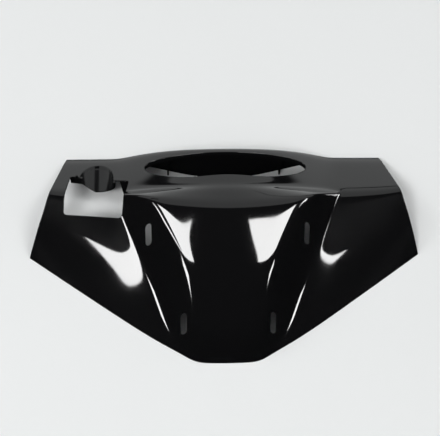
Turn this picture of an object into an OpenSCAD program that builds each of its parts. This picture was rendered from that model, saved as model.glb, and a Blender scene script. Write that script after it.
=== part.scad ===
// Scooter handlebar cover: one thin moulded shell, lying on its open back.
// X runs from wing tip to wing tip, +Y is the scooter's up, +Z faces away from the open back.
// Each section across X is drawn by rays from a point on the base, so every profile line
// gives a ray length, and rounded minimum and maximum of those lengths blend the faces.

/* [Wings] */
// Half length from the middle to a wing end, measured on the base at y = 0
wing_half = 209.7; // [200:0.1:220]
// Sweep of the wing ends, degrees seen from the front
end_sweep = 17.9; // [12:0.1:24]
// Lean of the wing ends towards the middle, degrees
end_lean = 9.2; // [4:0.1:14]
// Upper edge of the wings, y on the base
far_y = 65.8; // [60:0.1:72]
// Height of the upright skirt along the upper edge
skirt_h = 10; // [6:0.5:14]
// Crest of the wings, y
crest_y = -3; // [-10:0.5:3]
// Crest of the wings, height
crest_h = 66; // [58:0.5:74]
// Drop of the crest towards the wing tips
tip_drop = 6; // [2:0.5:10]
// Shift of the crest towards the upper edge at the tips
tip_shift = 8; // [4:0.5:12]
// Bulge of the lower wing face over a straight line
face_bulge = 5; // [2:0.5:8]

/* [Lower edge] */
// Lowest point of the nose, y on the base, counted downwards
nose_low = 180.6; // [174:0.1:188]
// Slope of the lower edge from the nose to the tips, degrees
edge_slope = 34.7; // [32:0.1:37]
// Half width of the straight stretch under the nose
nose_half = 49.8; // [45:0.1:54]
// Softness of the corner beside that stretch
corner_soft = 26.1; // [20:0.1:32]
// Set-back of the nose's own rim at that corner
nose_round = 12; // [8:0.5:16]

/* [Instrument hood] */
// Depth of the hollow that the upper wall makes in the middle
wall_dip = 22; // [16:0.5:26]
// Half width of that hollow
dip_half = 143.4; // [136:0.1:150]
// Outward lean of the upper wall at the middle
wall_lean = 13.2; // [9:0.1:16]
// Rise of the upper wall over the wing skirt
hood_rise = 55; // [50:0.5:58]
// Half width of the hood at the upper wall
hood_half = 128; // [122:1:134]
// Rise of the deck over the wing crest, inside the nose
deck_rise = 50; // [44:0.5:56]
// Shift of the deck's top towards the nose
deck_shift = 22; // [18:0.5:26]
// Half width of the deck's rise
deck_half = 118; // [112:1:124]

/* [Nose] */
// Foot of the step behind the brow, y
step_y = 3; // [1:0.5:5]
// Foot of the step behind the brow, height
step_h = 80; // [76:0.5:84]
// Start of the ledge, y
ledge_y = -7; // [-9:0.5:-5]
// Start of the ledge, height
ledge_h = 105; // [102:0.5:108]
// Brow, y
brow_y = -34; // [-38:0.5:-30]
// Brow, height
brow_h = 124; // [120:0.5:128]
// Bow of the brow towards the ledge at its ends, per thousand of the squared half width
brow_bow = 2.5; // [1:0.1:4]
// Knee of the nose face, y
knee_y = -97; // [-103:0.5:-91]
// Knee of the nose face, height
knee_h = 99; // [95:0.5:103]
// Toe of the nose face above the lower edge, y
toe_y = -158; // [-161:0.5:-154]
// Toe of the nose face, height
toe_h = 50; // [44:0.5:56]
// Half width over which the upper nose falls to a third of its height
nose_fall = 230; // [215:1:250]
// The same at the toe
toe_fall = 180; // [165:1:200]
// Steepness of the flanks beside the brow, degrees
flank_soft = 56; // [52:1:60]
// Steepness of the flanks beside the toe, degrees
flank_steep = 68; // [64:1:72]

/* [Wall] */
// Wall thickness
wall = 2.5; // [2:0.1:3.2]

/* [Instrument opening] */
// Half width of the opening
opening_half = 93; // [88:0.5:96]
// Half depth of the opening along the sloping deck
opening_depth = 21.5; // [18:0.5:23]
// Bend of its two ends towards the upper wall
opening_bend = 27; // [22:0.5:29]
// Height of the wave in its lower rim
opening_wave = 1.5; // [0.5:0.1:2.5]

/* [Reservoir window] */
// Width of the window, seen from the front
window_w = 67.8; // [60:0.1:72]
// Height of the window, seen from the front
window_h = 48.6; // [42:0.1:52]
// Turn of the window, degrees
window_turn = -7.2; // [-10:0.1:-4]
// Excess of its upper edge's length over the lower one's
window_flare = 1.7; // [0:0.1:3]
// Excess of its outer side's length over the inner one's
window_taper = 1.8; // [0:0.1:3]
// Depth of the flange that hangs from its upper edge
flange_depth = 12.5; // [8:0.5:16]
// Lean of that flange and of the tab beside it, degrees
flange_lean = 12; // [6:1:18]
// Height of the tab's tip above the base
tab_tip = 19; // [16:0.5:24]

/* [Reservoir trough] */
// Middle of the trough for the reservoir's neck, x
neck_x = -148.8; // [-151:0.1:-147]
// Radius of the trough
neck_r = 20; // [18:0.1:21]
// Height of the trough's floor
neck_floor = 23; // [20:0.5:25]
// Height of its side walls over its axis
neck_side = 8; // [4:0.5:12]
// Inner end of the trough, y
neck_end = 17; // [12:0.5:20]
// Set-back of that end at the outer side wall
neck_cut = 9; // [4:0.5:12]

/* [Clip slots] */
// Width of a slot
slot_w = 7; // [5:0.5:9]
// Length of a slot, seen from the front
slot_len = 20; // [16:0.5:24]
// Upper pair, distance from the middle
slot_up_x = 87; // [85:0.5:89]
// Upper pair, y
slot_up_y = -51; // [-54:0.5:-48]
// Lower pair, distance from the middle
slot_low_x = 49.4; // [47:0.1:51]
// Lower pair, y
slot_low_y = -143; // [-146:0.5:-140]

/* [Screw bosses] */
// Outer radius of a boss
boss_r = 5; // [4:0.1:6]
// Radius of its pilot hole for a self-tapping screw
pilot_r = 2; // [1.5:0.05:2.5]
// Depth of the pilot hole
pilot_depth = 16; // [10:0.5:20]
// Height of a boss's open end above the base
boss_base = 4; // [2:0.5:8]

/* [Wall ribs] */
// Distance of a rib on the upper wall from the middle
rib_x = 67; // [62:0.5:72]
// Height of a rib
rib_h = 30; // [24:0.5:34]
// Depth of a rib
rib_depth = 6; // [4:0.5:8]
// Thickness of a rib
rib_t = 2; // [1.6:0.1:2.4]

/* [Hidden] */

// Mesh of the moulded faces: steps along x and along the rays, outside and inside
outer_mesh = [56, 37];
inner_mesh = [44, 29];
// The rays start on the base at this y
axis_y = -20;
// Sharpness of the rounded edges: higher is sharper
main_edge = 16;
nose_edge = 30;
crease_edge = 40;
// Share of the lower wing face at which it bends
face_bend = 0.5;
// Fixed shape of the hood's and the deck's rise
deck_power = 1.3;
hood_power = 1.25;
bell_soft = 0.12;
lean_power = 0.7;
tip_power = 6;
brow_reach = 150;
// Points of the two creases beside the nose, where it leaves the wings: outer and inner line
crease_up = [109.5, -37, 55];
crease_low = [51.9, -183.5, 0];
crease_shift = 9;
// Land between the instrument opening and the upper wall's edge
rim_land = 12.8;
// Depth of the lip that the opening's rim turns down
lip_depth = 6;
// Distance from the middle at which the nose's own rim is set back by its full value
nose_round_x = 53;
// Reservoir window: middle on the base, corner radius, heights of its upper edge's two ends
window_mid = [-147.7, 1.3];
window_corner = 3;
edge_up = [38, 50];
// Tab beside the trough: its sides at the window's edge and at the tip, from the window's middle
tab_top = [23.5, 35];
tab_low = [27, 30];
// Places of the screw bosses: wings, then nose
boss_spots = [[165, -55], [25, -148]];
gusset_t = 1.8;
gusset_len = 15;
gusset_gap = 8;
// Overrun of cutting shapes
over = 1;
tall = 200;

sweep = tan(end_sweep);
lean = tan(end_lean);
rim_y = -nose_low;

// Bell of height 1, softly faded out where its cosine passes zero
function faded(v) = (v + sqrt(v * v + bell_soft * bell_soft)) / 2;
function bell(t, k) =
    let (low = faded(-1))
    pow(max(faded(cos(90 * min(abs(t), 2))) - low, 0) / (faded(1) - low), k);
function total(v) = v * [for (a = v) 1];

// Sharp minimum of ray lengths, given as their inverses, with rounded corners
function rounded(v, p) = pow(total([for (a = v) pow(a, p)]), 1 / p);

// Inverse length of the ray with direction (c, s) to the line through a and b, each [y, z]
function to_line(c, s, a, b) =
    let (ya = a[0] - axis_y, yb = b[0] - axis_y)
    max((c * (b[1] - a[1]) - s * (yb - ya)) / (ya * b[1] - yb * a[1]), 0);

// A flank plane holds both crease points and rises by the given angle towards the middle
function flank_normal(up, low, rise) =
    let (n = cross([-cos(rise), 0, sin(rise)], low - up), m = n[0] < 0 ? -n : n)
    m / norm(m);
flanks = [
    [crease_up, crease_low, flank_soft],
    [crease_up + [crease_shift, 0, 0], crease_low - [crease_shift / 2, 0, 0], flank_steep]
];
flank_planes = [
    for (f = flanks)
    let (n = flank_normal(f[0], f[1], f[2]))
    [n, n * (f[0] - [0, axis_y, 0])]
];
function to_flank(c, s, ax, plane) =
    max(plane[0][1] * c + plane[0][2] * s, 0.2) / max(plane[1] - plane[0][0] * ax, 0.5);

// Wings and hood: upper wall, deck or upper wing face, then the lower wing face in two lines
function main_rays(ax, c, s) =
    let (
        rise = bell(ax / hood_half, hood_power),
        deck = bell(ax / deck_half, deck_power),
        foot = [far_y - wall_dip * bell(ax / dip_half, 2), 0],
        top = [foot[0] + wall_lean * pow(rise, lean_power), skirt_h + hood_rise * rise],
        crest = [
            crest_y - deck_shift * deck + tip_shift * pow(ax / wing_half, tip_power),
            crest_h + deck_rise * deck - tip_drop * pow(ax / wing_half, 2)
        ],
        edge = lower_edge(ax),
        run = norm(crest - edge),
        mid = crest + (edge - crest) * face_bend + face_bulge / run * [-crest[1], crest[0] - edge[0]]
    )
    rounded([
        to_line(c, s, foot, top), to_line(c, s, top, crest),
        to_line(c, s, crest, mid), to_line(c, s, mid, edge)
    ], main_edge);

// Lower edge on the base: straight under the nose, then a straight slope to each tip
function lower_edge(ax) =
    let (t = ax - nose_half)
    [rim_y + tan(edge_slope) * (t + sqrt(t * t + corner_soft * corner_soft)) / 2, 0];

// Nose: step, ledge, two faces and the turn-down at the toe, between the flanks
function nose_rays(ax, c, s) =
    let (
        fall = exp(-pow(ax / nose_fall, 2)),
        reach = pow(ax / nose_round_x, 6),
        back = 2 * nose_round * reach / (1 + reach),
        step = [step_y, step_h * fall],
        ledge = [ledge_y, ledge_h * fall],
        brow = [brow_y + brow_bow / 1000 * ax * ax * exp(-pow(ax / brow_reach, 2)), brow_h * fall],
        knee = [knee_y, knee_h * fall],
        toe = [toe_y + back, toe_h * exp(-pow(ax / toe_fall, 2))]
    )
    rounded([
        to_line(c, s, step, ledge), to_line(c, s, ledge, brow), to_line(c, s, brow, knee),
        to_line(c, s, knee, toe), to_line(c, s, toe, [rim_y + back, 0]),
        for (f = flank_planes) to_flank(c, s, ax, f)
    ], nose_edge);

// Point of the outer face in the section at x, on the ray at the given angle
function ray_point(x, angle) =
    let (
        c = cos(angle), s = sin(angle), ax = abs(x),
        a = 1 / main_rays(ax, c, s), b = 1 / nose_rays(ax, c, s),
        r = pow(pow(a, crease_edge) + pow(b, crease_edge), 1 / crease_edge)
    )
    [x, axis_y + r * c, r * s];

// The same for a share of the way to the wing end, whose plane is swept and leans
function cover_point(share, angle, x, turns = 3) =
    let (p = ray_point(x, angle))
    turns == 0 ? p : cover_point(share, angle, share * (wing_half - sweep * p[1] - lean * p[2]), turns - 1);

// Grid of the outer face; the rays stand closer along the upper edge
function face_grid(mesh) = [
    for (i = [0 : mesh[0]])
    let (share = 2 * i / mesh[0] - 1)
    [
        for (j = [0 : mesh[1]])
        let (t = j / mesh[1])
        cover_point(share, 180 * (t - 0.25 * t * (1 - t)), share * wing_half)
    ]
];
outer = face_grid(outer_mesh);
low_y = min([for (row = outer) for (p = row) p[1]]);
high_y = max([for (row = outer) for (p = row) p[1]]);

// Hollow under the wall, run past the base and past both ends
function clamped(k, last) = max(0, min(last, k));
function hollow_grid(grid, n, m) = [
    for (i = [-1 : n + 1])
    let (i0 = clamped(i, n), ia = clamped(i0 - 1, n), ib = clamped(i0 + 1, n))
    [
        for (j = [-1 : m + 1])
        let (
            j0 = clamped(j, m), ja = clamped(j0 - 1, m), jb = clamped(j0 + 1, m),
            normal = cross(grid[i0][jb] - grid[i0][ja], grid[ib][j0] - grid[ia][j0]),
            past = [sign(i - i0), 0, -abs(j - j0)]
        )
        grid[i0][j0] - wall * normal / norm(normal) + 2 * wall * past
    ]
];
inner = hollow_grid(face_grid(inner_mesh), inner_mesh[0], inner_mesh[1]);

// Closed solid between a grid of points, the fans across its two ends and the floor under it
module grid_solid(grid) {
    rows = len(grid);
    cols = len(grid[0]);
    points = [for (row = grid) for (p = row) p];
    skin = [
        for (i = [0 : rows - 2]) for (j = [0 : cols - 2])
        for (f = [[i * cols + j, (i + 1) * cols + j, (i + 1) * cols + j + 1],
                  [i * cols + j, (i + 1) * cols + j + 1, i * cols + j + 1]]) f
    ];
    first = [for (j = [0 : cols - 1]) j];
    last = [for (j = [cols - 1 : -1 : 0]) (rows - 1) * cols + j];
    base = [
        for (i = [rows - 1 : -1 : 0]) i * cols,
        for (i = [0 : rows - 1]) i * cols + cols - 1
    ];
    polyhedron(points, concat(skin, [first, last, base]), convexity = 8);
}

module body() { grid_solid(outer); }

// Layer of the given depth under the outer face
module layer(depth) {
    difference() {
        body();
        translate([0, 0, -depth]) body();
    }
}

// Instrument opening, drawn square to the sloping deck
deck_top = [crest_y - deck_shift, crest_h + deck_rise];
wall_top = [far_y - wall_dip + wall_lean, skirt_h + hood_rise];
deck_tilt = atan2(deck_top[1] - wall_top[1], wall_top[0] - deck_top[0]);
opening_mid = wall_top + (rim_land + opening_depth) * [-cos(deck_tilt), sin(deck_tilt)];
opening_steps = 72;
opening_x_power = 0.67;
opening_s_power = 0.91;
opening_reach = 45;

function signed_power(a, k) = sign(a) * pow(abs(a), k);
function opening_point(angle) =
    let (
        x = signed_power(cos(angle), opening_x_power),
        s = signed_power(sin(angle), opening_s_power),
        wave = s < 0 ? opening_wave * cos(360 * x) * (1 - x * x) : 0
    )
    [opening_half * x, opening_depth * s + opening_bend * x * x + wave];

module opening_shape() {
    polygon([for (k = [0 : opening_steps - 1]) opening_point(360 * k / opening_steps)]);
}

module along_deck(reach) {
    translate([0, opening_mid[0], opening_mid[1]])
    rotate([-deck_tilt, 0, 0])
    linear_extrude(2 * reach, center = true, convexity = 4)
    children();
}

module opening_lip() {
    intersection() {
        layer(lip_depth);
        along_deck(opening_reach) offset(delta = wall) opening_shape();
    }
}

// Reservoir window, with its flange and tab, and the trough for the reservoir's neck
module at_window() {
    translate([window_mid[0], window_mid[1], 0]) rotate([0, 0, window_turn]) children();
}

function window_point(sx, sy) =
    [sx * (window_w + sy * window_flare) / 2, sy * (window_h - sx * window_taper) / 2];

module window_cut() {
    at_window()
    linear_extrude(tall)
    offset(window_corner, $fn = 24)
    offset(-window_corner)
    polygon([for (s = [[-1, -1], [1, -1], [1, 1], [-1, 1]]) window_point(s[0], s[1])]);
}

// Plate drawn as [x, z] in the leaning plane that hangs from the window's upper edge
module hanging_plate() {
    ends = [window_point(-1, 1), window_point(1, 1)];
    run = ends[1][0] - ends[0][0];
    slant = tan(flange_lean);
    skew = (ends[1][1] - ends[0][1] - slant * (edge_up[1] - edge_up[0])) / run;
    at_window()
    multmatrix([
        [1, 0, 0, 0],
        [skew, 1, slant, ends[0][1] - slant * edge_up[0] - skew * ends[0][0]],
        [0, 0, 1, 0]
    ])
    rotate([90, 0, 0])
    translate([0, 0, -wall])
    linear_extrude(wall)
    children();
}

module window_rim() {
    outer_end = window_point(-1, 1)[0] - wall;
    intersection() {
        layer(flange_depth);
        hanging_plate() translate([outer_end, 0]) square([neck_x - neck_r - window_mid[0] - outer_end, tall]);
    }
    intersection() {
        body();
        hanging_plate()
        polygon([
            [tab_low[0], tab_tip], [tab_low[1], tab_tip],
            [tab_top[1], edge_up[1]], [tab_top[1], tall], [tab_top[0], tall], [tab_top[0], edge_up[1]]
        ]);
    }
}

// Round floor with upright sides, running along y from its inner end
module neck_shape(r, y, up) {
    translate([neck_x, y, neck_floor + neck_r])
    rotate([-90, 0, 0])
    linear_extrude(tall) {
        circle(r, $fn = 48);
        translate([-r, -up]) square([2 * r, up]);
    }
}

module neck_trough() {
    side = neck_r + wall;
    intersection() {
        body();
        neck_shape(side, neck_end, neck_side);
        linear_extrude(tall)
        polygon([
            [neck_x - side, neck_end + neck_cut], [neck_x - side / 4, neck_end], [neck_x + side, neck_end],
            [neck_x + side, tall], [neck_x - side, tall]
        ]);
    }
}

// Upright ribs inside the upper wall
module wall_ribs() {
    intersection() {
        difference() {
            body();
            translate([0, -wall - rib_depth, 0]) body();
        }
        for (side = [-1, 1])
            translate([side * rib_x - rib_t / 2, 0, 0]) cube([rib_t, tall, rib_h]);
    }
}

// Clip slots, cut straight through from the front
module slot(x, y) {
    translate([x, y, 0])
    linear_extrude(tall)
    hull() for (side = [-1, 1])
        translate([0, side * (slot_len - slot_w) / 2]) circle(d = slot_w, $fn = 20);
}

module slots() {
    for (side = [-1, 1]) {
        slot(side * slot_up_x, slot_up_y);
        slot(side * slot_low_x, slot_low_y);
    }
}

// Screw bosses under the wings and the nose, each with two pairs of gussets
module at_bosses() {
    for (spot = boss_spots) for (side = [-1, 1])
        translate([side * spot[0], spot[1], boss_base]) children();
}

module boss_bodies() {
    intersection() {
        body();
        at_bosses() {
            cylinder(r = boss_r, h = tall, $fn = 28);
            for (turn = [0, 90])
                rotate([0, 0, turn])
                translate([-gusset_len / 2, -gusset_t / 2, gusset_gap])
                cube([gusset_len, gusset_t, tall]);
        }
    }
}

// All moulded faces together
module moulding() {
    resize([0, 0, 0])
    difference() {
        union() {
            difference() {
                union() {
                    difference() {
                        body();
                        grid_solid(inner);
                    }
                    opening_lip();
                    wall_ribs();
                }
                window_cut();
            }
            window_rim();
            neck_trough();
            boss_bodies();
        }
        along_deck(opening_reach) opening_shape();
        neck_shape(neck_r, neck_end - over, tall);
        slots();
    }
}

module handlebar_cover() {
    color("#101011")
    translate([0, -(low_y + high_y) / 2, 0])
    difference() {
        moulding();
        at_bosses() translate([0, 0, -over]) cylinder(r = pilot_r, h = pilot_depth + over, $fn = 32);
    }
}

handlebar_cover();
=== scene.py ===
# Scooter handlebar cover: one gloss black moulded shell, lying on its open back on a pale table.
# Lengths in the dictionaries are millimetres and angles are degrees, in the drawing frame, whose y
# counts from the wings' axis; toFrame() moves a point from there into the row frame in metres.
import math
import bpy
import numpy as np
from mathutils import Matrix, Quaternion, Vector, geometry


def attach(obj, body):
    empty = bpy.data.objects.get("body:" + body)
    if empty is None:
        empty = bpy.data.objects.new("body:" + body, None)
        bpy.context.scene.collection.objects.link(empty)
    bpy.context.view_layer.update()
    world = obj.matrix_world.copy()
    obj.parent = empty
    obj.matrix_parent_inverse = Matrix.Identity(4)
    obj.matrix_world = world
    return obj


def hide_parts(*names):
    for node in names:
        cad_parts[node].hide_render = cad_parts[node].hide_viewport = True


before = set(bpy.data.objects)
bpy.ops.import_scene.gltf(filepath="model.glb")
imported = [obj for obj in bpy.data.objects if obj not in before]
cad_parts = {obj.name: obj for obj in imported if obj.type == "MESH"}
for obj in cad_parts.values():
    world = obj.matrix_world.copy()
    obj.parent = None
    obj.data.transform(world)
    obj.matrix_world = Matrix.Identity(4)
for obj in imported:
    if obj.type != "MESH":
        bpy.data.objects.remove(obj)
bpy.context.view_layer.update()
frameShift = 58.305  # y of the row frame's origin, counted downwards from the wings' axis
mm = 0.001

wings = {
    "half": 209.7,  # half length from the middle to a wing end, on the base at y = 0
    "endSweep": 17.9,
    "endLean": 9.2,
    "farY": 65.8,  # upper edge on the base
    "skirt": 10,  # height of the upright skirt along the upper edge
    "crestY": -3,
    "crestH": 66,
    "tipDrop": 6,  # how much lower the crest is at the wing ends
    "tipShift": 8,
    "tipPower": 6,
    "faceBulge": 5,
    "edge": 16,  # sharpness of the rounded edges
}
lowerEdge = {
    "low": 180.6,  # depth of the nose's rim under y = 0
    "slope": 34.7,
    "half": 49.8,  # half width of the straight part in the middle
    "soft": 26.1,
    "noseRound": 12,  # how far the nose's rim goes back at its corners
    "noseRoundX": 53,
    "noseRoundPower": 6,
}
hood = {
    "wallDip": 22,  # how far the upper edge goes in behind the opening
    "dipHalf": 143.4,
    "dipPower": 2,
    "wallLean": 13.2,
    "leanPower": 0.7,
    "rise": 55,
    "half": 128,
    "power": 1.25,
    "deckRise": 50,
    "deckShift": 22,
    "deckHalf": 118,
    "deckPower": 1.3,
}
nose = {
    "step": (3, 80),  # y and height of the profile's corners in the middle section
    "ledge": (-7, 105),
    "brow": (-34, 124),
    "knee": (-97, 99),
    "toe": (-158, 50),
    "browBow": 0.0025,
    "browReach": 150,
    "fall": 230,
    "toeFall": 180,
    "creaseUp": (109.5, -37, 55),  # where the flanks meet the wings
    "creaseLow": (51.9, -183.5, 0),
    "creaseShift": 9,
    "flankSoft": 56,
    "flankSteep": 68,
    "flankFloor": (0.2, 0.5),  # keeps a flank finite where a ray hardly meets it
    "edge": 30,
    "join": 40,  # sharpness of the crease between nose and wings
}
axisY = -20.0  # the section rays start here on the base
bellSoft = 0.12  # how softly a bell fades out at its ends


def tan(degrees):
    return math.tan(math.radians(degrees))


# The outer face. In the section at x a ray at the angle phi from the line y = axisY, z = 0 has the length
# r = softmax(softmin(wing and hood lines), softmin(nose lines, flank planes)).
def faded(v):
    # (v + sqrt(v^2 + soft^2)) / 2, a rounded max(v, 0)
    return (v + np.sqrt(v * v + bellSoft ** 2)) / 2


def bell(t, k):
    # (cos(90 deg * t)) ^ k, height 1 in the middle, softly faded out where the cosine passes zero
    low = faded(-1.0)
    return (np.maximum(faded(np.cos(np.minimum(t, 2) * math.pi / 2)) - low, 0) / (faded(1.0) - low)) ** k


def toLine(c, s, a, b):
    # inverse length of the ray (c, s) from the axis to the line through a and b
    ya, yb = a[0] - axisY, b[0] - axisY
    return np.maximum((c * (b[1] - a[1]) - s * (yb - ya)) / (ya * b[1] - yb * a[1]), 0)


def softSum(values, power):
    # (sum of v^power)^(1/power): a rounded maximum, so of inverse lengths a rounded nearest line
    return sum(v ** power for v in values) ** (1 / power)


def flankPlane(shift, rise):
    # normal and distance of the plane through the shifted crease, rising that steeply across it
    up = np.array(nose["creaseUp"]) + (shift, 0, 0)
    low = np.array(nose["creaseLow"]) - (shift / 2, 0, 0)
    angle = math.radians(rise)
    n = np.cross(low - up, (-math.cos(angle), 0, math.sin(angle)))
    n = n / np.linalg.norm(n) * np.sign(n[0])
    return n, n @ (up - (0, axisY, 0))


flanks = [flankPlane(0, nose["flankSoft"]), flankPlane(nose["creaseShift"], nose["flankSteep"])]


def radius(x, phi):
    # length of the ray at phi in the section at x, by the formula above
    ax, c, s = np.abs(x), np.cos(phi), np.sin(phi)
    tip = ax / wings["half"]
    rise = bell(ax / hood["half"], hood["power"])
    deck = bell(ax / hood["deckHalf"], hood["deckPower"])
    footY = wings["farY"] - hood["wallDip"] * bell(ax / hood["dipHalf"], hood["dipPower"])
    top = (footY + hood["wallLean"] * rise ** hood["leanPower"], wings["skirt"] + hood["rise"] * rise)
    crest = (wings["crestY"] - hood["deckShift"] * deck + wings["tipShift"] * tip ** wings["tipPower"],
             wings["crestH"] + hood["deckRise"] * deck - wings["tipDrop"] * tip ** 2)
    t = ax - lowerEdge["half"]
    edgeY = -lowerEdge["low"] + tan(lowerEdge["slope"]) * (t + np.sqrt(t * t + lowerEdge["soft"] ** 2)) / 2
    run = np.hypot(crest[0] - edgeY, crest[1])
    bulge = wings["faceBulge"] / run
    mid = ((crest[0] + edgeY) / 2 - bulge * crest[1], crest[1] / 2 + bulge * (crest[0] - edgeY))
    main = softSum([toLine(c, s, (footY, 0 * ax), top), toLine(c, s, top, crest),
                    toLine(c, s, crest, mid), toLine(c, s, mid, (edgeY, 0 * ax))], wings["edge"])
    fall = np.exp(-(ax / nose["fall"]) ** 2)
    reach = (ax / lowerEdge["noseRoundX"]) ** lowerEdge["noseRoundPower"]
    back = 2 * lowerEdge["noseRound"] * reach / (1 + reach)
    bow = nose["browBow"] * ax * ax * np.exp(-(ax / nose["browReach"]) ** 2)
    step, ledge = [(nose[k][0] + 0 * ax, nose[k][1] * fall) for k in ("step", "ledge")]
    brow = (nose["brow"][0] + bow, nose["brow"][1] * fall)
    knee = (nose["knee"][0] + 0 * ax, nose["knee"][1] * fall)
    toe = (nose["toe"][0] + back, nose["toe"][1] * np.exp(-(ax / nose["toeFall"]) ** 2))
    rim = (-lowerEdge["low"] + back, 0 * ax)
    turned, near = nose["flankFloor"]
    sides = [np.maximum(n[1] * c + n[2] * s, turned) / np.maximum(d - n[0] * ax, near) for n, d in flanks]
    front = softSum([toLine(c, s, step, ledge), toLine(c, s, ledge, brow), toLine(c, s, brow, knee),
                     toLine(c, s, knee, toe), toLine(c, s, toe, rim)] + sides, nose["edge"])
    return softSum([1 / main, 1 / np.maximum(front, 1e-6)], nose["join"])


def endHalf(y, z):
    # half length of the cover at that y and height: the end planes are swept and lean
    return wings["half"] - tan(wings["endSweep"]) * y - tan(wings["endLean"]) * z


def toShare(points):
    # flat map of points: share of the way to the end plane, angle of the ray
    x, y, z = points[..., 0], points[..., 1], points[..., 2]
    phi = np.arctan2(z, y - axisY)
    phi = np.where(phi < -math.pi / 2, phi + 2 * math.pi, phi)
    return np.stack([x / endHalf(y, z), phi], -1)


def fromShare(share, rounds=12):
    # points of the flat map: x = u * (half length at the point's own y and height), by repetition
    u, phi = share[..., 0], share[..., 1]
    x = u * wings["half"]
    for _ in range(rounds):
        r = radius(x, phi)
        x = u * endHalf(axisY + r * np.cos(phi), r * np.sin(phi))
    r = radius(x, phi)
    return np.stack([x, axisY + r * np.cos(phi), r * np.sin(phi)], -1)


def field(p):
    # log of the distance from the axis over the surface's, above 0 outside
    y = p[..., 1] - axisY
    phi = np.arctan2(p[..., 2], y)
    phi = np.where(phi < -math.pi / 2, phi + 2 * math.pi, phi)
    return np.log(np.hypot(y, p[..., 2]) / radius(p[..., 0], phi))


def unit(v):
    # v over its length
    return v / np.maximum(np.linalg.norm(v, axis=-1, keepdims=True), 1e-12)


def normalAt(p, reach=0.12):
    # gradient of the field by central differences
    return unit(np.stack([field(p + reach * e) - field(p - reach * e) for e in np.eye(3)], -1))


def castIn(start, way, length, steps=260, halvings=40):
    # first point of the outer face on the way from outside: stepped over, then halved in
    way = unit(np.asarray(way, float) + 0 * start)
    t = np.linspace(0, length, steps)
    f = np.stack([field(start + way * k) for k in t])
    first = np.argmax(f < 0, axis=0)
    near, far = t[np.maximum(first - 1, 0)], t[first]
    for _ in range(halvings):
        half = (near + far) / 2
        inside = field(start + way * half[:, None]) < 0
        near, far = np.where(inside, near, half), np.where(inside, half, far)
    return start + way * near[:, None]


def innerShare(points, way, depth, rounds=14):
    # where the line from each point along its way meets the face at that depth under the outer one
    share = toShare(points)
    for _ in range(rounds):
        s = fromShare(share)
        off = s - depth * normalAt(s) - points
        off = off - (off * way).sum(-1, keepdims=True) * way
        share = toShare(s - off)
    return share


overTop = 160.0  # z well above the cover
farOut = 100.0  # y well beyond its upper edge
farRun = 95.0  # how far in from there the wall is looked for


def dropOn(x, y):
    # points of the outer face straight under the spots
    start = np.stack([np.asarray(x, float), np.asarray(y, float), np.full(np.shape(x), overTop)], -1)
    return castIn(start.reshape(-1, 3), (0, 0, -1), overTop)


def pushIn(x, z):
    # points of the outer face met against y from beyond the upper edge
    return castIn(np.column_stack([x, np.full(len(x), farOut), z]), (0, -1, 0), farRun)


def surfaceZ(x, y):
    # height of the outer face over the spots
    return dropOn(x, y)[:, 2].reshape(np.shape(x))


def resample(points, gap, least=12):
    # closed loop at even steps, of at least so many points
    closed = np.vstack([points, points[:1]])
    run = np.concatenate([[0], np.cumsum(np.linalg.norm(np.diff(closed, axis=0), axis=1))])
    count = max(least, int(run[-1] / gap))
    at = np.linspace(0, run[-1], count, endpoint=False)
    return np.stack([np.interp(at, run, closed[:, k]) for k in range(closed.shape[1])], -1)


opening = {
    "half": 93,
    "depth": 21.5,
    "bend": 27,  # how far its ends go towards the upper edge
    "wave": 1.5,
    "land": 12.8,  # rim left between it and the upper wall
    "xPower": 0.67,
    "sPower": 0.91,
    "step": 1.6,  # between the points of its loop
    "away": 45,  # how far off the deck the loop starts from
    "rays": 1440,  # points of the curve before it is taken at even steps
}


def openingLoop():
    # x = half * cos^xPower, s = depth * sin^sPower + bend * x^2 + wave, square to the sloping deck
    top = np.array([wings["crestY"] - hood["deckShift"], wings["crestH"] + hood["deckRise"]])
    low = np.array([wings["farY"] - hood["wallDip"] + hood["wallLean"], wings["skirt"] + hood["rise"]])
    along = unit(top - low)
    mid = low + along * (opening["land"] + opening["depth"])
    a = np.linspace(0, 2 * math.pi, opening["rays"], endpoint=False)
    x = np.sign(np.cos(a)) * np.abs(np.cos(a)) ** opening["xPower"]
    s = np.sign(np.sin(a)) * np.abs(np.sin(a)) ** opening["sPower"]
    wave = np.where(s < 0, opening["wave"] * np.cos(2 * math.pi * x) * (1 - x * x), 0)
    s = opening["depth"] * s + opening["bend"] * x * x + wave
    flat = resample(np.stack([opening["half"] * x, s], -1), opening["step"])
    # the drawing's second axis points towards the upper wall, down the deck
    plane = np.array([0, -along[0], -along[1]])
    normal = np.array([0, along[1], -along[0]])
    if normal[2] < 0:
        normal = -normal
    away = opening["away"]
    start = np.array([0, mid[0], mid[1]]) + flat[:, :1] * (1, 0, 0) + flat[:, 1:] * plane + normal * away
    return castIn(start, -normal, 2 * away), np.tile(-normal, (len(start), 1))


def roundCorners(corners, r, gap, count=7):
    # polygon with rounded corners, each an arc of quadratic Bezier
    rows = []
    n = len(corners)
    for k in range(n):
        c, before, after = corners[k], corners[k - 1], corners[(k + 1) % n]
        a, b = c + unit(before - c) * r, c + unit(after - c) * r
        t = np.linspace(0, 1, count)[:, None]
        rows.append((1 - t) ** 2 * a + 2 * t * (1 - t) * c + t ** 2 * b)
    return resample(np.vstack(rows), gap)


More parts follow.
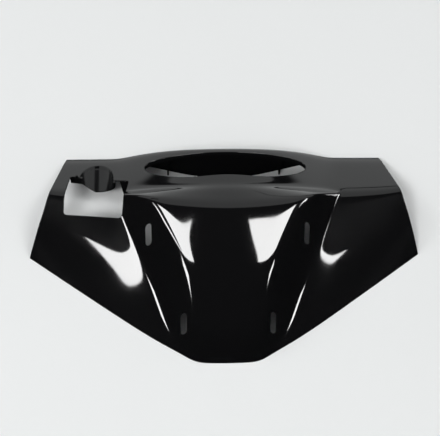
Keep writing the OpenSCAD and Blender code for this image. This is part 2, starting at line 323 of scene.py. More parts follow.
window = {
    "mid": (-147.7, 1.3),
    "w": 67.8,
    "h": 48.6,
    "turn": -7.2,
    "flare": 1.7,  # how much wider the upper edge is
    "taper": 1.8,  # how much lower the right edge is
    "corner": 4.2,  # where a corner's curve begins, from the corner
    "flange": 12.5,
    "lean": 12,
    "edgeUp": (38, 50),  # height of the upper edge at its left and right end
    "tabTop": (23.5, 35),  # the tab's sides at the window's edge, from its middle
    "tabLow": (27, 30),  # and at its tip
    "tabTip": 19,  # height of the tip
    "bury": 1.3,  # how far flange and tab run into the wall
    "off": 0.03,  # keeps them off the cut's own face
    "past": 0.5,  # how far the flange runs past the window's left side and the trough's
    "planStep": 1.0,
    "step": 1.5,
    "gap": 0.3,  # between the trough's U and the rest of the loop
    "smooth": 3,  # rounds that turn the cut's way softly from downwards to inwards
    "back": 12,  # how far off the face the loop starts from
    "archCount": 65,  # points on the trough's half circle
    "sideCount": 8,  # and on each upright side of it
    "grid": (13, 9),  # points of flange and tab across and down
}
trough = {
    "x": -148.8,
    "r": 20,
    "floor": 23,
    "side": 8,  # height of its upright sides over the half circle
    "end": 17,  # y of its inner end
    "cut": 9,  # how far that end goes back on the left
    "bury": 1.6,  # how far it runs into the wall
    "off": 0.02,
    "count": (41, 9),  # points round the half circle and along it
}


def windowPoint(sx, sy):
    # corner of the window in its own plan, sx and sy being -1 or 1
    wide = window["w"] + sy * window["flare"]
    high = window["h"] - sx * window["taper"]
    return np.array([sx * wide / 2, sy * high / 2])


def atWindow(flat):
    # the window's own plan, turned and moved to its place
    turn = math.radians(window["turn"])
    spin = np.array([[math.cos(turn), -math.sin(turn)], [math.sin(turn), math.cos(turn)]])
    return flat @ spin.T + window["mid"]


def windowLoop():
    # rounded quadrilateral cut from above, its upper edge opened by the trough's U
    corners = atWindow(np.array([windowPoint(*s) for s in ((1, 1), (1, -1), (-1, -1), (-1, 1))]))
    plan = roundCorners(corners, window["corner"], window["planStep"])
    # the U from the left wall over the floor to the right wall, cast inwards from beyond the upper edge
    left, right = trough["x"] - trough["r"], trough["x"] + trough["r"]
    slope = (corners[0] - corners[3])[1] / (corners[0] - corners[3])[0]
    axisZ = trough["floor"] + trough["r"]
    topZ = surfaceZ([left, right], [corners[3][1] + slope * (x - corners[3][0]) for x in (left, right)])
    gap = window["gap"]
    a = np.linspace(math.pi, 2 * math.pi, window["archCount"])
    sides = [np.linspace(z, axisZ, window["sideCount"])[1:-1] if z > axisZ + 1 else np.zeros(0)
             for z in topZ]
    x = np.concatenate([0 * sides[0] + left, trough["x"] + trough["r"] * np.cos(a), 0 * sides[1] + right])
    z = np.concatenate([sides[0], axisZ + trough["r"] * np.sin(a), sides[1][::-1]])
    arch = pushIn(x, z)
    arch = arch[arch[:, 1] > corners[3][1] + slope * (arch[:, 0] - corners[3][0]) + gap]
    across = (plan[:, 0] > arch[0, 0] - gap) & (plan[:, 0] < arch[-1, 0] + gap)
    upper = (plan[:, 1] > window["mid"][1]) & across
    order = np.roll(np.arange(len(plan)), -int(np.argmax(upper & ~np.roll(upper, 1))))
    rest = plan[order][~upper[order]]
    rest = rest if rest[0, 0] > rest[-1, 0] else rest[::-1]
    top = dropOn(rest[:, 0], rest[:, 1])
    loop = np.vstack([top, arch])
    way = np.vstack([np.tile((0, 0, -1.0), (len(top), 1)), np.tile((0, -1.0, 0), (len(arch), 1))])
    both = resample(np.hstack([loop, way]), window["step"])
    way = both[:, 3:]
    for _ in range(window["smooth"]):
        way = (np.roll(way, 1, 0) + 2 * way + np.roll(way, -1, 0)) / 4
    back = window["back"]
    return castIn(both[:, :3] - unit(way) * back, unit(way), 2 * back), unit(way)


slots = {"w": 7, "long": 20, "upper": (87, -51), "lower": (49.4, -143), "step": 1.1, "count": 40}


def slotLoop(x, y):
    # stadium cut from above
    r, h = slots["w"] / 2, (slots["long"] - slots["w"]) / 2
    a = np.linspace(0, math.pi, slots["count"])
    plan = np.vstack([np.column_stack([x + r * np.cos(a), y + h + r * np.sin(a)]),
                      np.column_stack([x - r * np.cos(a), y - h - r * np.sin(a)])])
    plan = resample(plan, slots["step"])
    return dropOn(plan[:, 0], plan[:, 1]), np.tile((0, 0, -1.0), (len(plan), 1))


def borderShare(gap, around=190):
    # the four sides of the flat map, as one closed loop; around is the run of a section in millimetres
    u = np.linspace(-1, 1, int(2 * wings["half"] / gap))[:-1]
    phi = np.linspace(0, math.pi, int(around / gap))[:-1]
    return np.vstack([np.column_stack([u, 0 * u]), np.column_stack([1 + 0 * phi, phi]),
                      np.column_stack([-u, math.pi + 0 * u]), np.column_stack([-1 + 0 * phi, math.pi - phi])])


def insideLoop(points, loop):
    # even-odd rule
    inside = np.zeros(len(points), bool)
    x, y = points[:, 0], points[:, 1]
    for k in range(len(loop)):
        (x1, y1), (x2, y2) = loop[k - 1], loop[k]
        if y1 != y2:
            inside ^= ((y1 > y) != (y2 > y)) & (x < (x2 - x1) * (y - y1) / (y2 - y1) + x1)
    return inside


rayScale = (206.0, 130.0)  # millimetres in the flat map, per unit of share and per radian
clearShare = 0.55  # share of the grid's gap that stays free of grid points beside a loop
batch = 60  # loop points compared with the grid at a time
samePoint = 1e-7


def flatten(share):
    # shares and angles in millimetres
    return share * rayScale


def triangulate(outline, holes, gap):
    # Delaunay triangles of an even grid in the flat map, with the loops as fixed edges
    loops = [flatten(outline)] + [flatten(h) for h in holes]
    a = np.arange(-rayScale[0], rayScale[0], gap)
    b = np.arange(0, math.pi * rayScale[1], gap)
    grid = np.stack(np.meshgrid(a, b, indexing="ij"), -1).reshape(-1, 2)
    grid = grid[insideLoop(grid, loops[0])]
    clear = (clearShare * gap) ** 2
    for loop in loops:
        near = np.zeros(len(grid), bool)
        for part in np.array_split(np.arange(len(loop)), max(1, len(loop) // batch)):
            near |= (((grid[:, None] - loop[part]) ** 2).sum(-1) < clear).any(1)
        grid = grid[~near]
    for loop in loops[1:]:
        grid = grid[~insideLoop(grid, loop)]
    flat = np.vstack(loops + [grid])
    edges, start = [], 0
    for loop in loops:
        n = len(loop)
        edges += [(start + k, start + (k + 1) % n) for k in range(n)]
        start += n
    made = geometry.delaunay_2d_cdt([Vector(p) for p in flat], edges, [], 0, samePoint)
    if len(made[0]) != len(flat):
        raise RuntimeError("the flat map's loops cross: %d points came back for %d"
                           % (len(made[0]), len(flat)))
    # the points come back in another order, so each is traced to the one it was
    origin = np.array([o[0] for o in made[3]])
    tris = origin[np.array([f for f in made[2]])]
    middle = flat[tris].mean(1)
    keep = insideLoop(middle, loops[0])
    for loop in loops[1:]:
        keep &= ~insideLoop(middle, loop)
    return flat / rayScale, tris[keep]


def alongLoop(p):
    # direction from each point's neighbour before it to the one after it
    return unit(np.roll(p, -1, 0) - np.roll(p, 1, 0))


def roundedPath(rows, r):
    # polyline of loops whose inner corners become quadratic Beziers of that reach; the first and the
    # last one run right up to the path's ends
    count = 5
    made = [rows[0]]
    for k in range(1, len(rows) - 1):
        a = rows[k] + unit(rows[k - 1] - rows[k]) * r
        b = rows[k] + unit(rows[k + 1] - rows[k]) * r
        if k == 1:
            a = rows[0]
        if k == len(rows) - 2:
            b = rows[-1]
        first = 1 if k == 1 else 0
        last = count - 1 if k == len(rows) - 2 else count
        steps = np.linspace(0, 1, count)[first:last]
        made += [(1 - t) ** 2 * a + 2 * t * (1 - t) * rows[k] + t ** 2 * b for t in steps]
    return np.stack(made + [rows[-1]])


class Mesh:
    # points, faces, normals and a mark for the hidden side, gathered for one object
    def __init__(self):
        self.points, self.normals, self.inside, self.faces, self.count = [], [], [], [], 0

    def add(self, points, normals, inside):
        start = self.count
        self.points.append(points)
        self.normals.append(normals)
        self.inside.append(np.full(len(points), float(inside)))
        self.count += len(points)
        return start


def toFrame(points):
    # drawing millimetres to the row frame's metres
    return (np.asarray(points, float) + (0, frameShift, 0)) * mm


def buildMesh(name, points, faces, normals=None, inside=None):
    # smooth object of points in the drawing frame, with its own normals and hidden-side mark if given
    mesh = bpy.data.meshes.new(name)
    mesh.from_pydata(toFrame(np.asarray(points)).tolist(), [], [list(map(int, f)) for f in faces])
    mesh.validate()
    mesh.polygons.foreach_set("use_smooth", np.ones(len(mesh.polygons), bool))
    if inside is not None:
        mark = mesh.attributes.new("inside", "FLOAT", "POINT")
        mark.data.foreach_set("value", np.asarray(inside, np.float32))
    if normals is not None:
        mesh.normals_split_custom_set_from_vertices(unit(normals).tolist())
    obj = bpy.data.objects.new(name, mesh)
    bpy.context.scene.collection.objects.link(obj)
    return obj


wall = {
    "thick": 2.5,
    "edge": 0.55,  # reach of the rounded rims
    "lip": 6,  # depth of the opening's collar
    "borderStep": 2.0,
    "step": 1.9,
    "insideStep": 3.4,
}


def borderRows():
    # the cover's own edge: every point goes in along its ray, so both faces end in the same planes;
    # gives the border of the outer and the inner sheet in the flat map, and the rows between them
    edge, thick = wall["edge"], wall["thick"]
    border = borderShare(wall["borderStep"])
    rim = fromShare(border)
    c, s = np.cos(border[:, 1]), np.sin(border[:, 1])
    outwards = border[:, 0] * (tan(wings["endSweep"]) * c + tan(wings["endLean"]) * s)
    ray = unit(np.stack([outwards, -c, -s], -1))
    phiEdge = edge / np.hypot(rim[:, 1] - axisY, rim[:, 2])
    share = np.clip(border[:, 0], -1 + edge / wings["half"], 1 - edge / wings["half"])
    shrunk = np.stack([share, np.clip(border[:, 1], phiEdge, math.pi - phiEdge)], -1)
    innerRim = innerShare(rim, ray, thick)
    depth = fromShare(innerRim)
    return shrunk, innerRim + shrunk - border, [rim, depth - thick * normalAt(depth)]


def cutRows(loop, way, lip):
    # a cut-out's edge: the loop goes through the wall along its way, over a lip of that length if any;
    # gives the same three as borderRows
    edge, thick = wall["edge"], wall["thick"]
    away = np.cross(normalAt(loop), alongLoop(loop))
    away = unit(away * np.sign((away * (loop - loop.mean(0))).sum()))
    side = np.cross(way, alongLoop(loop))
    side = unit(side * np.sign((side * (loop - loop.mean(0))).sum()))
    depth = fromShare(innerShare(loop + side * thick if lip else loop, way, thick))
    rows = [loop, depth - thick * normalAt(depth)]
    if lip:
        rows[1:1] = [loop + way * lip, loop + way * lip + side * thick]
    return toShare(loop + away * edge), toShare(depth + away * edge), rows


def addSheet(mesh, loops, gap, inside):
    # one face of the wall: points of the flat map, the inner ones one wall thickness under the outer
    flat, tris = triangulate(loops[0], loops[1:], gap)
    points = fromShare(flat)
    normals = normalAt(points)
    if inside:
        points, normals = points - wall["thick"] * normals, -normals
    start = mesh.add(points, normals, inside)
    a, b, c = (points[tris[:, k]] for k in range(3))
    turned = (np.cross(b - a, c - a) * normals[tris[:, 0]]).sum(-1) < 0
    mesh.faces += (np.where(turned[:, None], tris[:, ::-1], tris) + start).tolist()
    print("sheet", "inside" if inside else "outside", len(points), "points", len(tris), "triangles")
    return start, points, normals


def addStrip(mesh, rows, outer, inner, first):
    # quads between the loops at that place in both sheets, through the rows with rounded corners
    n = len(rows[0])
    (s0, p0, n0), (s1, p1, n1) = outer, inner
    path = roundedPath([p0[first:first + n]] + rows + [p1[first:first + n]], wall["edge"])
    normals = np.cross(np.roll(path, -1, 1) - np.roll(path, 1, 1), np.gradient(path, axis=0))
    flip = np.sign((normals[0] * n0[first:first + n]).sum())
    normals = unit(normals * flip)
    start = mesh.add(path[1:-1].reshape(-1, 3), normals[1:-1].reshape(-1, 3), 0)
    index = np.vstack([s0 + first + np.arange(n), start + np.arange((len(path) - 2) * n).reshape(-1, n),
                       s1 + first + np.arange(n)])
    a, b = index[:-1], index[1:]
    quads = np.stack([a, np.roll(a, -1, 1), np.roll(b, -1, 1), b], -1).reshape(-1, 4)
    mesh.faces += (quads if flip > 0 else quads[:, ::-1]).tolist()
    return first + n


def buildShell():
    # outer sheet, inner sheet and the strips that join them along the border and every cut-out
    loops = [openingLoop() + (wall["lip"],), windowLoop() + (0,)]
    for side in (-1, 1):
        for x, y in (slots["upper"], slots["lower"]):
            loops.append(slotLoop(side * x, y) + (0,))
    outerLoops, innerLoops, strips = zip(borderRows(), *[cutRows(*loop) for loop in loops])
    mesh = Mesh()
    outer = addSheet(mesh, outerLoops, wall["step"], 0)
    inner = addSheet(mesh, innerLoops, wall["insideStep"], 1)
    first = 0
    for rows in strips:
        first = addStrip(mesh, rows, outer, inner, first)
    return buildMesh("handlebarCover", np.vstack(mesh.points), mesh.faces, np.vstack(mesh.normals),
                     np.concatenate(mesh.inside))


def volumeOf(points, faces):
    # six times the signed volume of the closed quads
    total = 0
    for pick in ((0, 1, 2), (0, 2, 3)):
        a, b, c = (points[faces[:, k]] for k in pick)
        total += (a * np.cross(b, c)).sum()
    return total


plate = {"bevel": 0.35, "segments": 2, "angle": 50}  # edges turning by more than the angle are bevelled


def closedPlate(name, front, back, bevel=plate["bevel"]):
    # two grids of the same size, joined round their borders, with bevelled edges
    rows, cols = front.shape[:2]
    index = np.arange(rows * cols).reshape(rows, cols)
    quads = np.stack([index[:-1, :-1], index[1:, :-1], index[1:, 1:], index[:-1, 1:]], -1).reshape(-1, 4)
    loop = np.concatenate([index[:-1, 0], index[-1, :-1], index[:0:-1, -1], index[0, :0:-1]])
    away = rows * cols
    faces = np.vstack([quads, quads[:, ::-1] + away,
                       np.stack([np.roll(loop, -1), loop, loop + away, np.roll(loop, -1) + away], -1)])
    points = np.vstack([front.reshape(-1, 3), back.reshape(-1, 3)])
    outwards = faces if volumeOf(points, faces) > 0 else faces[:, ::-1]
    obj = buildMesh(name, points, outwards, None, np.ones(len(points)))
    cut = obj.modifiers.new("edges", "BEVEL")
    cut.width = bevel * mm
    cut.segments = plate["segments"]
    cut.limit_method = "ANGLE"
    cut.angle_limit = math.radians(plate["angle"])
    cut.harden_normals = True
    return obj


def buildTrough():
    # U profile of (x, z), run along y from the slanting inner end to inside the wall of the far slope
    side, mid, r = wall["thick"], trough["x"], trough["r"]
    axisZ = trough["floor"] + r
    a = np.linspace(math.pi, 2 * math.pi, trough["count"][0])
    t = np.linspace(0, 1, trough["count"][1])
    grids = []
    for reach in (r + trough["off"], r + side):
        x = np.concatenate([[mid - reach] * 2, mid + reach * np.cos(a), [mid + reach] * 2])
        z = np.concatenate([axisZ + trough["side"] * np.array([1, 0.5]), axisZ + reach * np.sin(a),
                            axisZ + trough["side"] * np.array([0.5, 1])])
        far = pushIn(x, z)[:, 1] - trough["bury"]
        slant = np.clip((mid - side - x) / (r - side), 0, 1)
        near = trough["end"] + trough["cut"] * slant
        y = near + (np.maximum(far, near + 1) - near) * t[:, None]
        grids.append(np.stack([x + 0 * y, y, z + 0 * y], -1))
    return closedPlate("reservoirTrough", grids[0], grids[1])


def hangingPlate(name, xTop, xLow, lowZ=None):
    # plate in the leaning plane y = edge(x) + tan(lean) * (z - edgeZ(x)), its top inside the wall and
    # its lower edge at lowZ, or the flange's depth under the top
    left, right = windowPoint(-1, 1), windowPoint(1, 1)
    slant = tan(window["lean"])
    s, t = np.linspace(0, 1, window["grid"][0]), np.linspace(0, 1, window["grid"][1])[:, None]
    across = (xTop[0] + (xTop[1] - xTop[0]) * s) * (1 - t) + (xLow[0] + (xLow[1] - xLow[0]) * s) * t
    k = (across - left[0]) / (right[0] - left[0])
    edgeY = left[1] + (right[1] - left[1]) * k
    edgeZ = window["edgeUp"][0] + (window["edgeUp"][1] - window["edgeUp"][0]) * k
    grids = []
    for over in (window["off"], wall["thick"]):
        flat = atWindow(np.stack([across, edgeY + over], -1))
        topZ = surfaceZ(flat[0, :, 0], flat[0, :, 1]) - window["bury"]
        low = topZ - window["flange"] if lowZ is None else lowZ + 0 * topZ
        z = topZ + (low - topZ) * t
        y = edgeY + slant * (z - edgeZ) + over
        flat = atWindow(np.stack([across, y], -1))
        grids.append(np.concatenate([flat, z[..., None]], -1))
    return closedPlate(name, grids[0], grids[1])


ribs = {"x": 67, "high": 30, "deep": 6, "thick": 2, "foot": 0.2, "bury": 1.2, "count": 12}


def buildRibs():
    # upright plates inside the upper wall, following its foot
    made = []
    for side in (-1, 1):
        z = np.linspace(ribs["foot"], ribs["high"], ribs["count"])
        x = side * ribs["x"]
        wallY = pushIn(np.full(ribs["count"], float(x)), z)[:, 1]
        grids = []
        for half in (-1, 1):
            y = np.stack([wallY - ribs["bury"], wallY - wall["thick"] - ribs["deep"]], -1)
            grids.append(np.stack([x + half * ribs["thick"] / 2 + 0 * y, y, z[:, None] + 0 * y], -1))
        made.append(closedPlate("wallRib." + ("right" if side > 0 else "left"), grids[0], grids[1]))
    return made


bosses = {
    "spots": ((165, -55), (25, -148)),
    "r": 5,
    "pilot": 2,  # radius of the blind hole
    "deep": 16,
    "base": 4,  # height of the open end
    "pilotEdge": 0.4,
    "edge": 0.5,
    "bury": 1.4,  # how far tube and gussets run into the wall
    "centre": 0.01,  # radius that closes the tube's ends
    "sharp": 35,  # edges turning by more degrees stay sharp
    "gusset": 7.5,  # reach from the boss's middle
    "gussetThick": 1.8,
    "gussetGap": 8,  # between the open end and the gussets
    "gussetBevel": 0.25,
    "inTube": 1,  # how far a gusset reaches into the tube's wall
    "turns": 32,
    "gussetCount": 5,
}


def bossTube(name, x, y):
    # rings of (radius, height) turned round the axis, the last two up in the wall
    a = np.linspace(0, 2 * math.pi, bosses["turns"] + 1)[:-1]
    r, base, pilot, centre = bosses["r"], bosses["base"], bosses["pilot"], bosses["centre"]
    top, edge, pilotEdge = base + bosses["deep"], bosses["edge"], bosses["pilotEdge"]
    profile = [(centre, top), (pilot, top), (pilot, base + pilotEdge), (pilot + pilotEdge, base),
               (r - edge, base), (r, base + edge), (r, None), (centre, None)]
    rows = []
    for reach, z in profile:
        px, py = x + reach * np.cos(a), y + reach * np.sin(a)
        pz = surfaceZ(px, py) - bosses["bury"] if z is None else np.full(len(a), float(z))
        rows.append(np.column_stack([px, py, pz]))
    index = np.arange(len(rows) * len(a)).reshape(len(rows), len(a))
    p, q = index[:-1], index[1:]
    quads = np.stack([p, np.roll(p, -1, 1), np.roll(q, -1, 1), q], -1).reshape(-1, 4)
    faces = quads.tolist() + [index[0, ::-1].tolist(), index[-1].tolist()]
    tube = buildMesh(name, np.vstack(rows), faces, None, np.ones(index.size))
    tube.data.set_sharp_from_angle(angle=math.radians(bosses["sharp"]))
    return tube


def bossGusset(name, x, y, dx, dy):
    # upright plate from inside the tube outwards along (dx, dy), up to the wall
    t = np.linspace(bosses["r"] - bosses["inTube"], bosses["gusset"], bosses["gussetCount"])
    low = float(bosses["base"] + bosses["gussetGap"])
    sheets = []
    for half in (-0.5, 0.5):
        px = x + t * dx - half * bosses["gussetThick"] * dy
        py = y + t * dy + half * bosses["gussetThick"] * dx
        z = np.stack([np.full(len(t), low), surfaceZ(px, py) - bosses["bury"]])
        sheets.append(np.stack([px + 0 * z, py + 0 * z, z], -1))
    return closedPlate(name, sheets[0], sheets[1], bosses["gussetBevel"])


def buildBosses():
    # tubes with a blind pilot hole, each with four gusset plates
    made = []
    for spot, (bx, by) in zip(("wing", "nose"), bosses["spots"]):
        for side in (-1, 1):
            x, label = side * bx, spot + "." + ("right" if side > 0 else "left")
            made.append(bossTube("screwBoss." + label, x, by))
            for turn, (dx, dy) in enumerate(((1, 0), (0, 1), (-1, 0), (0, -1))):
                made.append(bossGusset("gusset%d.%s" % (turn, label), x, by, dx, dy))
    return made


def linear(hexText):
    # sRGB hex to linear: v / 12.92, or ((v + 0.055) / 1.055)^2.4 above the toe
    values = [int(hexText[k:k + 2], 16) / 255 for k in (1, 3, 5)]
    return [v / 12.92 if v <= 0.04045 else ((v + 0.055) / 1.055) ** 2.4 for v in values] + [1.0]


def addNode(tree, kind, settings=None, links=None):
    # a node with its settings (socket name or number, or property) and links (socket: output)
    node = tree.nodes.new(kind)
    for key, value in (settings or {}).items():
        if isinstance(key, int) or key in node.inputs:
            node.inputs[key].default_value = value
        else:
            setattr(node, key, value)
    for key, output in (links or {}).items():
        tree.links.new(output, node.inputs[key])
    return node


def newMaterial(name):
    # empty node material and its tree
    made = bpy.data.materials.new(name)
    made.use_nodes = True
    made.node_tree.nodes.clear()
    return made, made.node_tree


plastic = {
    "colour": "#0f0f10",
    "insideColour": "#131314",
    "ior": 1.52,
    "roughness": 0.045,  # polished tool face
    "insideRoughness": 0.16,  # plain tool face of the hidden side
    "haze": 0.03,  # spread of the roughness from handling
    "hazeSize": 35,
    "hazeDetail": (3.0, 0.6),  # detail and roughness of the noise
    "hazeRange": (0.35, 0.75),  # part of the noise that counts
    "waviness": 0.012,  # height of the moulded face's slow waves, mm
    "waveSize": 22,
}


def makePlastic():
    # gloss black ABS: a dark body under a clear, slightly wavy mirror with a little haze
    made, tree = newMaterial("gloss black ABS")
    place = addNode(tree, "ShaderNodeTexCoord").outputs["Object"]
    inside = addNode(tree, "ShaderNodeAttribute", {"attribute_name": "inside"}).outputs["Fac"]
    detail, grain = plastic["hazeDetail"]
    haze = addNode(tree, "ShaderNodeTexNoise",
                   {"Scale": 1 / (plastic["hazeSize"] * mm), "Detail": detail, "Roughness": grain},
                   {"Vector": place}).outputs["Fac"]
    polished = addNode(tree, "ShaderNodeMapRange",
                       {"From Min": plastic["hazeRange"][0], "From Max": plastic["hazeRange"][1],
                        "To Min": plastic["roughness"], "To Max": plastic["roughness"] + plastic["haze"]},
                       {"Value": haze}).outputs["Result"]
    rough = addNode(tree, "ShaderNodeMix", {"data_type": "FLOAT", 3: plastic["insideRoughness"]},
                    {0: inside, 2: polished}).outputs[0]
    colour = addNode(tree, "ShaderNodeMix", {"data_type": "RGBA", 6: linear(plastic["colour"]),
                                             7: linear(plastic["insideColour"])}, {0: inside}).outputs[2]
    waves = addNode(tree, "ShaderNodeTexNoise", {"Scale": 1 / (plastic["waveSize"] * mm), "Detail": 0.0},
                    {"Vector": place}).outputs["Fac"]
    bump = addNode(tree, "ShaderNodeBump", {"Strength": 1.0, "Distance": plastic["waviness"] * mm},
                   {"Height": waves}).outputs["Normal"]
    shader = addNode(tree, "ShaderNodeBsdfPrincipled", {"IOR": plastic["ior"]},
                     {"Base Color": colour, "Roughness": rough, "Normal": bump}).outputs[0]
    addNode(tree, "ShaderNodeOutputMaterial", {}, {"Surface": shader})
    return made


stage = {
    "x": 1800,  # half width of the table
    "near": -1800,
    "far": 1800,
    "ambient": 0.19,
    "background": 0.86,  # what the eye sees past the table's edge
    "room": 0.004,  # what the gloss sees beyond the table and the lamps
}
glow = {
    # the lit table and the white wall behind it as the gloss sees them: full light up to the first
    # number, none from the second
    "level": 0.85,
    "low": -0.3,  # z of the card that stands in for the table
    "x": (320, 420),
    # the table card gives no light from the cover's upper edge forwards: painted shade under the cover, and
    # the table in front of it left dark in the gloss
    "near": (100, 62),
    "wallY": 2000,
    "wallX": 8000,
    "wallZ": (8000, 18000),
}
flags = {
    # black cards over the wings and beside their ends, seen by the gloss alone: x, y and z
    "left": ((-330, -162), (-151, -5), (150, 150)),
    "right": ((135, 330), (-165, -5), (150, 150)),
    "trough": ((-180, -118), (42, 105), (150, 150)),
    "leftEnd": ((-250, -250), (-135, 30), (0, 56)),
    "rightEnd": ((250, 250), (-190, 30), (0, 62)),
}


laminate = {
    "colour": "#e9ebeb",
    "cloudSize": 1 / 6,  # metres
    "cloudDetail": 2.0,
    "darker": 0.985,  # how dark the clouds get
    "roughness": 0.75,
    "specular": 0.2,
}


def makeTableMaterial():
    # matt white laminate: pale, hardly any shine, faintly uneven
    made, tree = newMaterial("matt white laminate")
    place = addNode(tree, "ShaderNodeTexCoord").outputs["Object"]
    cloud = addNode(tree, "ShaderNodeTexNoise",
                    {"Scale": 1 / laminate["cloudSize"], "Detail": laminate["cloudDetail"]},
                    {"Vector": place}).outputs["Fac"]
    pale = linear(laminate["colour"])
    darker = [v * laminate["darker"] for v in pale[:3]] + [1.0]
    colour = addNode(tree, "ShaderNodeMix", {"data_type": "RGBA", 6: pale, 7: darker}, {0: cloud}).outputs[2]
    shader = addNode(tree, "ShaderNodeBsdfPrincipled",
                     {"Roughness": laminate["roughness"], "Specular IOR Level": laminate["specular"]},
                     {"Base Color": colour}).outputs[0]
    addNode(tree, "ShaderNodeOutputMaterial", {}, {"Surface": shader})
    return made


def makeGlowMaterial(name, fades):
    # strength = level * product of fades; a fade (axis, full, none) runs from 1 to 0 along |x|, y or z
    made, tree = newMaterial(name)
    place = addNode(tree, "ShaderNodeTexCoord").outputs["Object"]
    parts = addNode(tree, "ShaderNodeSeparateXYZ", {}, {0: place}).outputs
    strength = None
    for axis, full, none in fades:
        value, shift = parts[axis], frameShift if axis == "Y" else 0
        if axis == "X":
            value = addNode(tree, "ShaderNodeMath", {"operation": "ABSOLUTE"}, {0: value}).outputs[0]
        fade = addNode(tree, "ShaderNodeMapRange",
                       {"From Min": (full + shift) * mm, "From Max": (none + shift) * mm,
                        "To Min": glow["level"] if strength is None else 1.0, "To Max": 0.0,
                        "interpolation_type": "SMOOTHSTEP"}, {"Value": value}).outputs["Result"]
        strength = fade if strength is None else addNode(tree, "ShaderNodeMath", {"operation": "MULTIPLY"},
                                                         {0: strength, 1: fade}).outputs[0]
    shine = addNode(tree, "ShaderNodeEmission", {"Color": linear(laminate["colour"])},
                    {"Strength": strength}).outputs[0]
    addNode(tree, "ShaderNodeOutputMaterial", {}, {"Surface": shine})
    return made


def makeFlagMaterial():
    # black felt: no light back
    made, tree = newMaterial("black felt")
    felt = addNode(tree, "ShaderNodeEmission", {"Strength": 0.0}).outputs[0]
    addNode(tree, "ShaderNodeOutputMaterial", {}, {"Surface": felt})
    return made


def plane(name, corners, material):
    # one four-cornered face of the stage
    mesh = bpy.data.meshes.new(name)
    mesh.from_pydata(toFrame(np.array(corners, float)).tolist(), [], [(0, 1, 2, 3)])
    mesh.materials.append(material)
    obj = bpy.data.objects.new(name, mesh)
    bpy.context.scene.collection.objects.link(obj)
    return obj


def buildStage():
    # table for the eye, stand-ins for table and wall and the black cards for the gloss, and the world
    x, near, far = stage["x"], stage["near"], stage["far"]
    corners = [(-x, near, 0), (x, near, 0), (x, far, 0), (-x, far, 0)]
    table = plane("table", corners, makeTableMaterial())
    table.visible_glossy = False
    wide, low, wallY, wallX, wallZ = glow["x"][1], glow["low"], glow["wallY"], glow["wallX"], glow["wallZ"][1]
    flat = [(-wide, near, low), (wide, near, low), (wide, wallY, low), (-wide, wallY, low)]
    upright = [(-wallX, wallY, 0), (wallX, wallY, 0), (wallX, wallY, wallZ), (-wallX, wallY, wallZ)]
    litTable = makeGlowMaterial("lit laminate in the gloss", [("X",) + glow["x"], ("Y",) + glow["near"]])
    litWall = makeGlowMaterial("lit wall in the gloss", [("Z",) + glow["wallZ"]])
    cards = [plane("tableInGloss", flat, litTable), plane("wallInGloss", upright, litWall)]
    felt = makeFlagMaterial()
    for name, ((x0, x1), (y0, y1), (z0, z1)) in flags.items():
        corners = [(x0, y0, z0), (x1, y0, z1), (x1, y1, z1), (x0, y1, z0)]
        cards.append(plane("flag." + name, corners, felt))
    for card in cards:
        for ray in ("camera", "diffuse", "shadow", "transmission"):
            setattr(card, "visible_" + ray, False)
    world = bpy.data.worlds.new("room")
    bpy.context.scene.world = world
    world.use_nodes = True
    tree = world.node_tree
    tree.nodes.clear()
    rays = addNode(tree, "ShaderNodeLightPath").outputs
    level = addNode(tree, "ShaderNodeMix",
                    {"data_type": "FLOAT", 2: stage["ambient"], 3: stage["background"]},
                    {0: rays["Is Camera Ray"]}).outputs[0]
    level = addNode(tree, "ShaderNodeMix", {"data_type": "FLOAT", 3: stage["room"]},
                    {0: rays["Is Glossy Ray"], 2: level}).outputs[0]
    air = addNode(tree, "ShaderNodeBackground", {"Color": (1, 1, 1, 1)}, {"Strength": level}).outputs[0]
    addNode(tree, "ShaderNodeOutputWorld", {}, {"Surface": air})


softboxes = {
    # azimuth from -y towards +x, elevation, roll, width and height as seen from the object (tangents)
    "left": {"azimuth": -62.5, "elevation": 31.5, "roll": -35.5, "size": (0.38, 1.04)},
    "right": {"azimuth": 68.3, "elevation": 32.5, "roll": 40.9, "size": (0.35, 1.39)},
    # low strips that draw the bright line along each crease
    "leftLow": {"azimuth": -56, "elevation": 3, "roll": 0, "size": (0.18, 0.17)},
    "rightLow": {"azimuth": 55, "elevation": 7, "roll": 0, "size": (0.16, 0.12)},
}
matt = {
    # the lamps that the table sees: azimuth, elevation, width, share of the table's light
    "front": {"azimuth": -45, "elevation": 60, "wide": 0.22, "share": 0.34},
    "left": {"azimuth": -105, "elevation": 48, "wide": 0.3, "share": 0.12},
    "right": {"azimuth": 105, "elevation": 62, "wide": 0.3, "share": 0.24},
    "overhead": {"azimuth": 180, "elevation": 86, "wide": 0.6, "share": 0.14},
}
light = {
    "target": (0.0, -60.0, 60.0),
    "far": 4000,  # of every lamp from the target
    "gloss": 20,  # radiance of the softboxes and strips
}


def addLamp(name, spot, way, roll, size, radiance, seenBy):
    # rectangular area lamp at the spot, looking back along its way
    lamp = bpy.data.lights.new(name, "AREA")
    lamp.shape = "RECTANGLE"
    lamp.size, lamp.size_y = size[0] * mm, size[1] * mm
    # an area lamp's radiance is its power over pi and its area
    lamp.energy = radiance * math.pi * lamp.size * lamp.size_y
    obj = bpy.data.objects.new(name, lamp)
    obj.location = toFrame(spot)
    obj.rotation_euler = (Vector(way).to_track_quat("Z", "Y") @ Quaternion((0, 0, 1), roll)).to_euler()
    bpy.context.scene.collection.objects.link(obj)
    obj.visible_camera = False
    obj.visible_glossy = seenBy == "gloss"
    obj.visible_diffuse = seenBy == "matt"


def wayTo(azimuth, elevation):
    # unit vector from the target to a lamp
    az, el = math.radians(azimuth), math.radians(elevation)
    return np.array([math.sin(az) * math.cos(el), -math.cos(az) * math.cos(el), math.sin(el)])


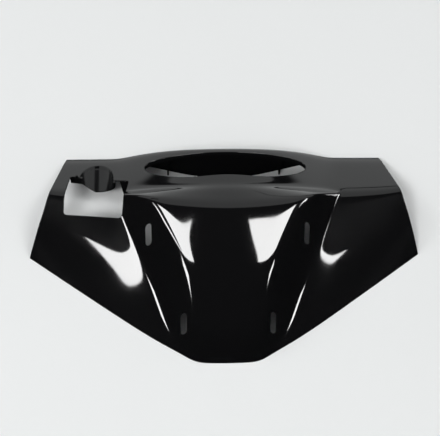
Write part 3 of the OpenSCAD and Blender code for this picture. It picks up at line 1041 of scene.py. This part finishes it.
def buildLamps():
    # the gloss sees two softboxes and two low strips; the table is lit from the same sides and from
    # above at a plain level, radiance = share * pi / (width^2 * sin(elevation))
    target, far = np.array(light["target"]), light["far"]
    for name, box in softboxes.items():
        way = wayTo(box["azimuth"], box["elevation"])
        addLamp("softbox." + name, target + way * far, way, math.radians(box["roll"]),
                (box["size"][0] * far, box["size"][1] * far), light["gloss"], "gloss")
    for name, lamp in matt.items():
        way, wide = wayTo(lamp["azimuth"], lamp["elevation"]), lamp["wide"]
        radiance = lamp["share"] * math.pi / (wide * wide * math.sin(math.radians(lamp["elevation"])))
        addLamp("lamp." + name, target + way * far, way, 0, (wide * far, wide * far), radiance, "matt")


camera = {
    "elevation": 72.0,  # of the eye over the table
    "yaw": 7.085,
    "roll": -6.233,
    "distance": 1000.0,
    "target": (-7.51, -25.37, 50),
    "lens": 72.47,
    "sensor": 36,
    "clip": 0.05,  # metres
}


def buildCamera():
    # looks down on the target from its distance, turned by yaw about the upright and by roll about its view
    el, yaw, roll = (math.radians(camera[k]) for k in ("elevation", "yaw", "roll"))
    ahead = np.array([math.sin(yaw) * math.cos(el), math.cos(yaw) * math.cos(el), -math.sin(el)])
    right = np.array([math.cos(yaw), -math.sin(yaw), 0])
    up = np.cross(right, ahead)
    right, up = right * math.cos(roll) - up * math.sin(roll), up * math.cos(roll) + right * math.sin(roll)
    spot = toFrame(np.array(camera["target"]) - ahead * camera["distance"])
    data = bpy.data.cameras.new("camera")
    data.lens = camera["lens"]
    data.sensor_width = camera["sensor"]
    data.clip_start = camera["clip"]
    obj = bpy.data.objects.new("camera", data)
    rows = [[right[k], up[k], -ahead[k], spot[k]] for k in range(3)]
    obj.matrix_world = Matrix(rows + [[0, 0, 0, 1]])
    bpy.context.scene.collection.objects.link(obj)
    bpy.context.scene.camera = obj


gloss = makePlastic()
shell = buildShell()
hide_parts("handlebar_cover")
print("shell built")
leftSide = windowPoint(-1, 1)[0] - window["past"]
flangeEnd = (trough["x"] - trough["r"] - window["mid"][0]) + window["past"]
pieces = [shell, buildTrough(),
          hangingPlate("windowFlange", (leftSide, flangeEnd), (leftSide, flangeEnd)),
          hangingPlate("windowTab", window["tabTop"], window["tabLow"], window["tabTip"])]
pieces += buildRibs() + buildBosses()
for piece in pieces:
    piece.data.materials.append(gloss)
    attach(piece, "root")
print("small pieces built")
buildStage()
buildLamps()
buildCamera()
bpy.context.scene.view_settings.view_transform = "Standard"
print("stage built")
